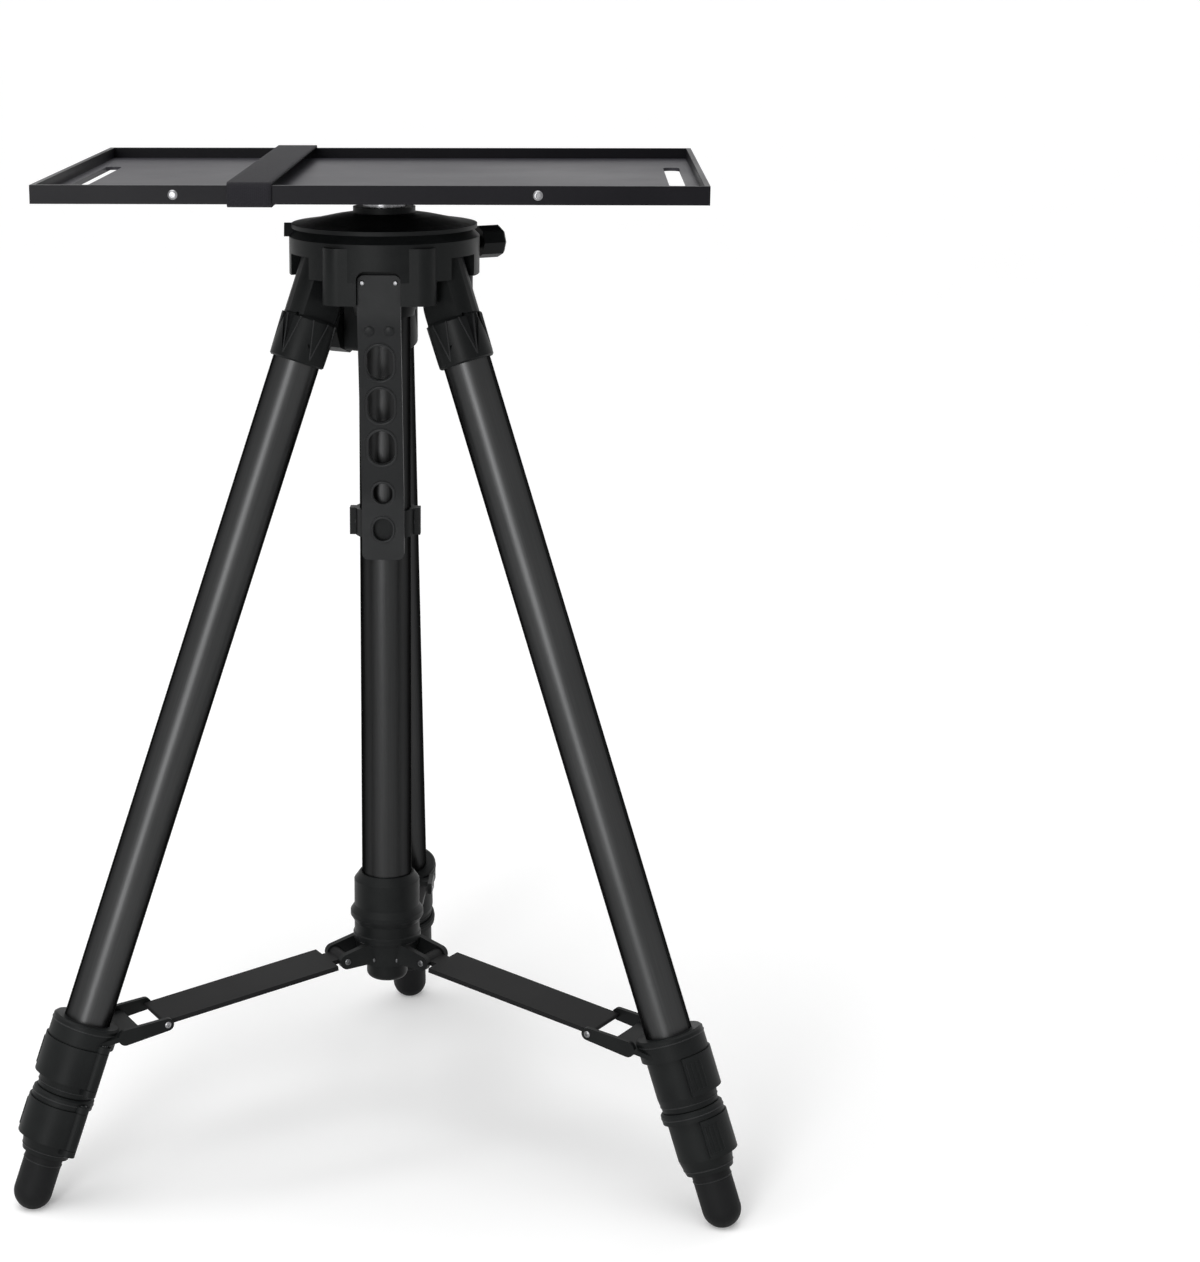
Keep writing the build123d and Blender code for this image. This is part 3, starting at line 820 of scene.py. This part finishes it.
def joint(name: str) -> Mapping[str, Any]:
    """The record's entry for a joint."""
    return next(entry for entry in frame["joints"] if entry["name"] == name)


def pivot(name: str) -> Vector:
    """The point that a hinge turns about."""
    return Vector(joint(name)["pos_m"])


def direction(name: str) -> Vector:
    """The direction of a joint's axis."""
    return Vector(joint(name)["axis"]).normalized()


@dataclass
class LegFrame:
    """Places on one leg: down its axis from the hinge, outward from it and to its side."""

    side: Side
    hinge_offset: float = 8.1 * MM

    @property
    def up(self) -> Vector:
        """Direction up the leg."""
        return -direction(f"mid_{self.side.value}_slide")

    @property
    def radial(self) -> Vector:
        """Level direction away from the column."""
        return -Vector((self.up.x, self.up.y, 0)).normalized()

    @property
    def across(self) -> Vector:
        """Level direction square to the leg's plane."""
        return UP.cross(self.radial)

    @property
    def out(self) -> Vector:
        """Direction outward, square to the leg."""
        return self.across.cross(self.up)

    @property
    def top(self) -> Vector:
        """The point of the leg's axis beside its hinge."""
        return pivot(f"leg_{self.side.value}_fold") - self.out * self.hinge_offset

    def at(self, along: float, out: float = 0.0) -> Vector:
        """A point in the leg's plane.

        Args:
            along: Metres down the axis.
            out: Metres outward from it.

        Returns:
            The point.
        """
        return self.top - self.up * along + self.out * out

    def down(self, point: Vector) -> float:
        """How far down the axis a point lies."""
        return (self.top - point).dot(self.up)

    def around(self, angle: float) -> Vector:
        """A direction square to the leg, in degrees from outward."""
        turn = math.radians(angle)
        return self.out * math.cos(turn) + self.across * math.sin(turn)


@dataclass(frozen=True)
class Lock:
    """Sizes of one clamp housing, along the leg from the middle of its lever."""

    stage: str
    body: str
    lever_face: float
    seams: tuple[tuple[float, float], ...]


@dataclass
class Leg:
    """Seams, ribs and pins of one leg and of its spreader arm."""

    frame: LegFrame
    finishes: Finishes
    locks: tuple[Lock, ...] = (
        Lock("upper", "leg", 22.0 * MM, ((-22.4 * MM, 21.0 * MM), (17.2 * MM, 17.85 * MM))),
        Lock("lower", "mid", 20.5 * MM, ((-15.5 * MM, 19.4 * MM), (18.9 * MM, 15.5 * MM))),
    )
    lever_height: float = 24.0 * MM
    lever_ear: float = 4.3 * MM
    rib_turns: tuple[float, ...] = (-155, -147, -139, -131)
    sleeve_radius: float = 17.0 * MM
    sleeve_foot: float = 59.0 * MM
    flute_angles: tuple[float, ...] = (30, 90, 150, 210, 270, 330)
    flute_width: float = 10.0 * MM
    flute_length: float = 24.0 * MM
    fork_rise: float = 37.2 * MM
    fork_inset: float = 44.0 * MM
    fork_half_width: float = 20.8 * MM
    ear_half_width: float = 12.3 * MM
    foot_ring_drop: float = 9.0 * MM
    foot_radius: float = 12.0 * MM
    flute_edge_width: float = 0.9 * MM
    flute_edge_height: float = 1.0 * MM
    flute_edge_soft: float = 0.3 * MM
    flute_edge_sink: float = 0.9 * MM
    line_sink: float = 0.6 * MM
    line_height: float = 0.35 * MM
    line_half: float = 0.4 * MM
    line_soft: float = 0.25 * MM
    line_steps: int = 48
    rib_width: float = 1.3 * MM
    rib_length: float = 17.0 * MM
    rib_height: float = 0.7 * MM
    rib_soft: float = 0.4 * MM
    rib_sink: float = 0.2 * MM
    hinge_pin: Screw = Screw(2.5 * MM, 0.9 * MM, 1.1 * MM)
    arm_pin: Screw = Screw(2.1 * MM, 0.9 * MM, 0.9 * MM)

    def dress(self) -> list[bpy.types.Object]:
        """Make the leg's small pieces.

        Returns:
            The new objects.
        """
        made = [self._flutes(), self._foot_ring()]
        for lock in self.locks:
            made += self._seams(lock) + self._lever(lock)
        return made + self._arm_pins()

    def _name(self, piece: str) -> str:
        """A piece's name with the leg's side."""
        return f"{piece}_{self.frame.side.value}"

    def _lever_pivot(self, lock: Lock) -> Vector:
        """Middle of a lever's hinge pin."""
        return pivot(f"{lock.stage}_lever_{self.frame.side.value}_flip")

    def _flutes(self) -> bpy.types.Object:
        """Raised edges of the tapered flutes round the shoulder's sleeve.

        Returns:
            The new object.
        """
        slant = math.atan2(self.flute_width / 2, self.flute_length)
        length = math.hypot(self.flute_width / 2, self.flute_length)
        middle = self.frame.at(self.sleeve_foot - self.flute_length / 2)
        bars = []
        for angle in self.flute_angles:
            out = self.frame.around(angle)
            side = self.frame.up.cross(out)
            base = middle + out * (self.sleeve_radius - self.flute_edge_sink)
            for hand in (-1, 1):
                place = facing(base + side * hand * self.flute_width / 4, out, self.frame.up)
                bar = soft_bar(
                    self.flute_edge_width, length, self.flute_edge_height, self.flute_edge_soft
                )
                bars.append((bar, place @ Matrix.Rotation(-hand * slant, 4, "Z")))
        ribs = merged(bars)
        name, body = self._name("flute_edges"), self._name("leg")
        return add_piece(
            name, ribs, Matrix.Identity(4), self.finishes.edge, body
        )

    def _ring(self, name: str, body: str, along: float, radius: float) -> bpy.types.Object:
        """A thin raised line round a part of the leg.

        Args:
            name: The piece's name.
            body: The body that it rides on.
            along: How far down the leg it lies.
            radius: Radius of what it goes round.

        Returns:
            The new object.
        """
        profile = ring_profile(
            radius - self.line_sink, radius + self.line_height,
            -self.line_half, self.line_half, self.line_soft,
        )
        line = spun(profile, self.line_steps)
        place = facing(self.frame.at(along), self.frame.up)
        return add_piece(
            self._name(name), line, place, self.finishes.edge, self._name(body)
        )

    def _seams(self, lock: Lock) -> list[bpy.types.Object]:
        """The mould lines round a clamp housing.

        Args:
            lock: The housing's sizes.

        Returns:
            The new objects.
        """
        middle = self.frame.down(self._lever_pivot(lock))
        return [
            self._ring(f"{lock.stage}_{place}", lock.body, middle + offset, radius)
            for place, (offset, radius) in zip(("seam", "hem"), lock.seams)
        ]

    def _foot_ring(self) -> bpy.types.Object:
        """The bead near the top of the rubber foot."""
        _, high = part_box(self._name("foot"))
        along = (self.frame.top.z - high.z) / self.frame.up.z + self.foot_ring_drop
        return self._ring("foot_ring", "lower", along, self.foot_radius)

    def _lever(self, lock: Lock) -> list[bpy.types.Object]:
        """Grip ribs near a lever's free end and the heads of its hinge pin.

        Args:
            lock: The housing's sizes.

        Returns:
            The new objects.
        """
        hinge = self._lever_pivot(lock)
        middle = self.frame.at(self.frame.down(hinge))
        toward = (hinge - middle).normalized()
        bars = []
        for turn in self.rib_turns:
            out = Matrix.Rotation(math.radians(turn), 3, self.frame.up) @ toward
            place = facing(middle + out * (lock.lever_face - self.rib_sink), out, self.frame.up)
            bar = soft_bar(self.rib_width, self.rib_length, self.rib_height, self.rib_soft)
            bars.append((bar, place))
        lever = self._name(f"{lock.stage}_lever")
        ribs = merged(bars)
        made = [add_piece(
            f"{lever}_ribs", ribs, Matrix.Identity(4), self.finishes.plastic, lever
        )]
        body = self._name(lock.body)
        reach = self.lever_height / 2 + self.lever_ear
        for end, out in (("top", self.frame.up), ("foot", -self.frame.up)):
            head = self.hinge_pin.head()
            place = facing(hinge + out * reach, out, self.frame.out)
            name = self._name(f"{lock.stage}_hinge_pin_{end}")
            made.append(add_piece(name, head, place, self.finishes.bolt, body))
        return made

    def _arm_pins(self) -> list[bpy.types.Object]:
        """Pin heads at both ends of the spreader arm.

        Returns:
            The new objects.
        """
        along = self.frame.down(self._lever_pivot(self.locks[0])) - self.fork_rise
        fork = self.frame.at(along, -self.fork_inset)
        ear = pivot(f"arm_{self.frame.side.value}_swing")
        steel, bolt = self.finishes.steel, self.finishes.bolt
        made = []
        for name, body, spot, reach, finish in (
            ("fork_pin", self._name("leg"), fork, self.fork_half_width, steel),
            ("ear_pin", "hub", ear, self.ear_half_width, bolt),
        ):
            for end, hand in (("a", -1), ("b", 1)):
                head = self.arm_pin.head()
                place = facing(spot + self.frame.across * hand * reach, self.frame.across * hand)
                label = f"{self._name(name)}_{end}"
                made.append(add_piece(label, head, place, finish, body))
        return made


@dataclass
class Crown:
    """Rims and bosses of the carry handle, hub bolts, knob caps and the band's screws."""

    centre: Vector
    finishes: Finishes
    strip_half: float = 2.0 * MM
    upper_straight: float = 26.0 * MM
    lower_straight: float = 40.0 * MM
    long_hole: tuple[float, float] = (16.0 * MM, 22.0 * MM)
    long_drops: tuple[float, ...] = (53.0 * MM, 80.0 * MM, 107.0 * MM)
    short_hole: tuple[float, float] = (12.0 * MM, 14.0 * MM)
    short_drops: tuple[float, ...] = (137.0 * MM, 160.0 * MM)
    boss_drop: float = 33.0 * MM
    boss_spread: float = 6.0 * MM
    screw_drop: float = 4.5 * MM
    screw_spread: float = 10.0 * MM
    ear_half: float = 4.0 * MM
    ear_screw_inset: float = 4.5 * MM
    bolt_reach: float = 18.8 * MM
    bolt_drop: float = 2.0 * MM
    bolt_turns: tuple[float, ...] = (243, 297, 3, 57, 123, 177)
    rim_band: float = 1.5 * MM
    rim_height: float = 0.8 * MM
    boss_profile: tuple[tuple[float, float], ...] = (
        (0, 0), (3.1 * MM, 0), (3.1 * MM, 0.5 * MM), (2.3 * MM, 1.1 * MM), (0, 1.3 * MM)
    )
    boss_steps: int = 24
    handle_screw: Screw = Screw(1.5 * MM, 0.7 * MM, 0.7 * MM)
    band_screw: Screw = Screw(1.8 * MM, 0.8 * MM, 0.8 * MM)
    hub_bolt: Screw = Screw(2.6 * MM, 1.4 * MM, 1.2 * MM)
    cap_radii: tuple[tuple[str, float], ...] = (("pan_knob", 6.0 * MM), ("lift_knob", 9.0 * MM))
    cap_height: float = 0.8 * MM
    cap_floor: float = 0.35 * MM
    cap_edge: float = 0.7 * MM

    def dress(self) -> list[bpy.types.Object]:
        """Make the crown's pieces.

        Returns:
            The new objects.
        """
        return self._rims() + self._rivets() + self._hub_bolts() + self._caps()

    def _strip(self, drop: float, x: float = 0.0) -> Matrix:
        """A placement on the handle's front face.

        Args:
            drop: Metres below the strip's top.
            x: Metres to the right.

        Returns:
            A matrix whose Z points off the face and whose Y points up the strip.
        """
        low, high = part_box("carry_handle")
        front, back = low.y + self.strip_half, high.y - self.strip_half
        line = (
            (front, high.z), (front, high.z - self.upper_straight),
            (back, low.z + self.lower_straight), (back, low.z),
        )
        height = high.z - drop
        start, end = next((a, b) for a, b in zip(line, line[1:]) if height >= b[1])
        share = (start[1] - height) / (start[1] - end[1])
        along = Vector((0, start[0] - end[0], start[1] - end[1])).normalized()
        out = Vector((0, -along.z, along.y))
        spot = Vector((self.centre.x + x, start[0] + (end[0] - start[0]) * share, height))
        return facing(spot + out * self.strip_half, out)

    def _rims(self) -> list[bpy.types.Object]:
        """Raised rims round the handle's holes.

        Returns:
            The new objects.
        """
        holes = [(drop, self.long_hole) for drop in self.long_drops]
        holes += [(drop, self.short_hole) for drop in self.short_drops]
        made = []
        for number, (drop, (width, length)) in enumerate(holes):
            place = self._strip(drop)
            rim = slot_rim(width, length / place.col[1].z, self.rim_band, self.rim_height)
            name = f"handle_rim_{number}"
            made.append(add_piece(name, rim, place, self.finishes.edge, "crown"))
        return made

    def _rivets(self) -> list[bpy.types.Object]:
        """Bosses and screws of the handle, and the screws of the band's ears.

        Returns:
            The new objects.
        """
        low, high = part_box("handle_band")
        ear_height = (low.z + high.z) / 2
        use = self.finishes
        made = []
        for side, hand in (("left", -1), ("right", 1)):
            boss = self._strip(self.boss_drop, hand * self.boss_spread)
            screw = self._strip(self.screw_drop, hand * self.screw_spread)
            edge = high.x if hand > 0 else low.x
            across = edge - hand * self.ear_screw_inset
            ear = Vector((across, self.centre.y - self.ear_half, ear_height))
            button = spun(self.boss_profile, self.boss_steps)
            for name, mesh, place, finish, slot in (
                ("handle_boss", button, boss, use.handle, Slot.HANDLE),
                ("handle_screw", self.handle_screw.head(), screw, use.steel, Slot.STEEL),
                ("band_screw", self.band_screw.head(), facing(ear, FRONT), use.edge, Slot.PLASTIC),
            ):
                made.append(add_piece(f"{name}_{side}", mesh, place, finish, "crown"))
        return made

    def _hub_bolts(self) -> list[bpy.types.Object]:
        """Bolt heads round the hub, two between each pair of arms.

        Returns:
            The new objects.
        """
        height = pivot(f"arm_{Side.LEFT.value}_swing").z - self.bolt_drop
        made = []
        for number, azimuth in enumerate(self.bolt_turns):
            turn = math.radians(azimuth)
            out = Vector((math.cos(turn), math.sin(turn), 0))
            place = facing(self.centre + out * self.bolt_reach + UP * height, out)
            head = self.hub_bolt.head()
            name = f"hub_bolt_{number}"
            made.append(add_piece(name, head, place, self.finishes.bolt, "hub"))
        return made

    def _caps(self) -> list[bpy.types.Object]:
        """Sunk caps on the ends of the two knobs.

        Returns:
            The new objects.
        """
        made = []
        for name, radius in self.cap_radii:
            out = direction(f"{name}_turn")
            start = pivot(f"{name}_turn")
            knob = frame["nodes"][name].data
            reach = max((vert.co - start).dot(out) for vert in knob.vertices)
            cap = spun([
                (0, 0), (radius, 0), (radius * 0.94, self.cap_edge),
                (radius * 0.8, self.cap_height),
                (radius * 0.74, self.cap_floor), (0, self.cap_floor),
            ])
            place = facing(start + out * reach, out)
            finish = self.finishes.plastic
            made.append(add_piece(f"{name}_cap", cap, place, finish, name))
        return made


@dataclass
class Tray:
    """The hold-down strap and the screws in the tray's front rail."""

    finishes: Finishes
    screw_spread: float = 102.0 * MM
    screw_shift: float = -7.0 * MM
    strap_thickness: float = 1.4 * MM
    strap_inset: float = 1.5 * MM
    strap_bend: float = 2.2 * MM
    strap_cuts: int = 9
    bend_steps: int = 6
    strap_sharp: float = 75.0
    rail_screw: Screw = Screw(2.8 * MM, 1.1 * MM, 1.3 * MM)

    def dress(self) -> list[bpy.types.Object]:
        """Make the tray's pieces.

        Returns:
            The new objects.
        """
        made = [self._strap()]
        low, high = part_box("tray_front_rail")
        for side, hand in (("left", -1), ("right", 1)):
            across = self.screw_shift + hand * self.screw_spread
            spot = Vector((across, low.y, (low.z + high.z) / 2))
            place = facing(spot, FRONT)
            head, finish = self.rail_screw.head(), self.finishes.steel
            made.append(add_piece(f"rail_screw_{side}", head, place, finish, "tray"))
        return made

    def _strap(self) -> bpy.types.Object:
        """The webbing loop: a row of edges drawn round the tray, bent at each corner.

        Returns:
            The new object, which stands for the plain solid.
        """
        low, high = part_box("tray_strap")
        bend = self.strap_bend
        depth = high.y - low.y - 2 * (self.strap_inset + bend)
        height = high.z - low.z - 2 * (self.strap_inset + bend)
        place = Vector((0, high.y - self.strap_inset - bend, high.z - self.strap_inset))
        bm = bmesh.new()
        ends = [bm.verts.new((x, place.y, place.z)) for x in (low.x, high.x)]
        bmesh.ops.subdivide_edges(bm, edges=[bm.edges.new(ends)], cuts=self.strap_cuts)
        row = list(bm.edges)
        way, inward = FRONT.copy(), -UP
        bend_axis = Vector((1, 0, 0))
        quarter = Matrix.Rotation(math.pi / 2, 3, "X")
        for run in (depth, height, depth, height):
            row = draw_on(bm, row, way * run)
            place += way * run
            centre = place + inward * bend
            row = turn_on(bm, row, centre, bend_axis, math.pi / 2, self.bend_steps)
            place += (way + inward) * bend
            way, inward = quarter @ way, quarter @ inward
        bmesh.ops.remove_doubles(bm, verts=bm.verts, dist=WELD)
        strap = add_piece(
            "hold_down_strap", bm, Matrix.Identity(4), self.finishes.strap,
            "tray", self.strap_sharp,
        )
        solid = strap.modifiers.new("thickness", "SOLIDIFY")
        solid.thickness = self.strap_thickness
        solid.offset = 1.0
        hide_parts("tray_strap")
        return strap


@dataclass(frozen=True)
class Lamp:
    """A tall soft panel of light."""

    name: str
    spot: tuple[float, float, float]
    width: float
    power: float


@dataclass
class Stage:
    """Floor, lights and camera."""

    centre: Vector
    sky_strength: float = 0.2
    overhead_strength: float = 2.2
    overhead_spread: float = 64.0
    overhead_way: tuple[float, float, float] = (0.16, 0.2, -1.0)
    overhead_height: float = 3.0
    lamps: tuple[Lamp, ...] = (
        Lamp("key", (-0.6, -2.2, 0.8), 0.6, 30.0),
        Lamp("rim", (1.6, 1.8, 1.5), 1.0, 6.0),
    )
    lamp_aspect: float = 2.6
    aim_height: float = 0.35
    floor_half: float = 70.0
    floor_drop: float = 0.2 * MM
    floor_dark: Colour = (0.88, 0.88, 0.88)
    floor_light: Colour = (0.9, 0.9, 0.9)
    floor_cloud: float = 3.0
    floor_rough: float = 0.8
    floor_specular: float = 0.1
    floor_glow: float = 0.205
    lens: float = 78.81
    shift: float = 0.1698
    eye: tuple[float, float, float] = (0.0139, -1.6892, 0.7674)
    swing: float = 0.06
    yaw: float = 0.0083
    dip: float = 0.2473
    roll: float = -0.004

    def build(self) -> None:
        """Make the stage."""
        self._floor()
        self._lights()
        self._camera()

    def _floor(self) -> None:
        """A wide pale floor whose brightness for the camera doesn't light the stand."""
        bm = bmesh.new()
        bmesh.ops.create_grid(bm, x_segments=2, y_segments=2, size=self.floor_half)
        mesh = bpy.data.meshes.new("floor")
        bm.to_mesh(mesh)
        bm.free()
        g = Graph(bpy.data.materials.new("floor_pale"))
        cloud = g.noise(g.coords(), self.floor_cloud, 2.0)
        mesh.materials.append(g.finish({
            "Base Color": g.mix(cloud, self.floor_dark, self.floor_light),
            "Roughness": self.floor_rough,
            "Specular IOR Level": self.floor_specular,
            "Emission Color": g.mix(g.seen(), (0.0, 0.0, 0.0), (1.0, 1.0, 1.0)),
            "Emission Strength": self.floor_glow,
        }))
        floor = bpy.data.objects.new("floor", mesh)
        floor.location = -UP * self.floor_drop
        bpy.context.scene.collection.objects.link(floor)

    def _lights(self) -> None:
        """An even sky, a broad overhead light and two tall panels."""
        scene = bpy.context.scene
        g = Graph(bpy.data.worlds.new("studio"))
        strength = self.sky_strength + g.seen() * (1.0 - self.sky_strength)
        white = (1.0, 1.0, 1.0, 1.0)
        sky = g.node("ShaderNodeBackground", {"Color": white, "Strength": strength})
        g.node("ShaderNodeOutputWorld", {"Surface": g.out(sky)})
        scene.world = g.owner
        overhead = bpy.data.lights.new("overhead", "SUN")
        overhead.energy = self.overhead_strength
        overhead.angle = math.radians(self.overhead_spread)
        self._hang(overhead, UP * self.overhead_height, Vector(self.overhead_way))
        for lamp in self.lamps:
            panel = bpy.data.lights.new(lamp.name, "AREA")
            panel.energy = lamp.power
            panel.shape = "RECTANGLE"
            panel.size = lamp.width
            panel.size_y = self.lamp_aspect * lamp.width
            spot = self.centre + Vector(lamp.spot)
            self._hang(panel, spot, self.centre + UP * self.aim_height - spot)
        scene.view_settings.view_transform = "Standard"

    def _hang(self, data: bpy.types.Light, spot: Vector, toward: Vector) -> None:
        """Put a light in the scene.

        Args:
            data: The light.
            spot: Where it hangs.
            toward: The direction that it shines in.
        """
        light = bpy.data.objects.new(data.name, data)
        light.location = spot
        light.rotation_euler = toward.to_track_quat("-Z", "Y").to_euler()
        bpy.context.scene.collection.objects.link(light)

    def _camera(self) -> None:
        """A long lens in front of the stand, a little above its tray."""
        data = bpy.data.cameras.new("camera")
        data.lens = self.lens
        data.shift_x = self.shift
        camera = bpy.data.objects.new("camera", data)
        swing = Matrix.Rotation(self.swing, 4, "Z")
        camera.location = self.centre + swing @ Vector(self.eye)
        yaw = Matrix.Rotation(self.yaw, 4, "Z")
        tilt = Matrix.Rotation(math.pi / 2 - self.dip, 4, "X")
        roll = Matrix.Rotation(self.roll, 4, "Z")
        camera.rotation_euler = (swing @ yaw @ tilt @ roll).to_euler()
        bpy.context.scene.collection.objects.link(camera)
        bpy.context.scene.camera = camera


def paint_nodes(finishes: Finishes, legs: Iterable[LegFrame]) -> None:
    """Give every CAD node its finish.

    Args:
        finishes: The stand's materials.
        legs: The legs, whose tubes are drawn along their own axes.
    """
    by_slot = {
        Slot.PLASTIC: finishes.plastic,
        Slot.HANDLE: finishes.handle,
        Slot.STEEL: finishes.steel,
        Slot.RAIL: finishes.rail,
        Slot.PANEL: finishes.panel,
        Slot.STRAP: finishes.strap,
        Slot.FOOT: finishes.foot,
        Slot.ARM: finishes.arm,
    }
    tubes = {
        leg.side.value: Anodised(f"leg_tube_{leg.side.value}", leg.up).make() for leg in legs
    }
    # The mast takes a darker copy of the leg tubes' finish: painted shade on the column standing under the tray
    # and crown.
    mast = Anodised(
        "mast_tube", UP, (0.024, 0.0243, 0.0246), (0.036, 0.0363, 0.0366)
    ).make()
    for entry in frame["record"]["subparts"]:
        node = entry["node"]
        slot = Slot(entry["material_slot"])
        material = tubes.get(node.rsplit("_", 1)[-1], mast) if slot is Slot.TUBE else by_slot[slot]
        mesh = frame["nodes"][node].data
        mesh.materials.clear()
        mesh.materials.append(material)


def main() -> None:
    """Dress the stand."""
    logging.basicConfig(level=logging.INFO, format="%(message)s")
    low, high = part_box("guide_tube")
    centre = Vector(((low.x + high.x) / 2, (low.y + high.y) / 2, 0))
    finishes = Finishes()
    legs = [LegFrame(side) for side in Side]
    paint_nodes(finishes, legs)
    pieces = Tray(finishes).dress() + Crown(centre, finishes).dress()
    for leg in legs:
        pieces += Leg(leg, finishes).dress()
    Stage(centre).build()


if __name__ == "__main__":
    main()
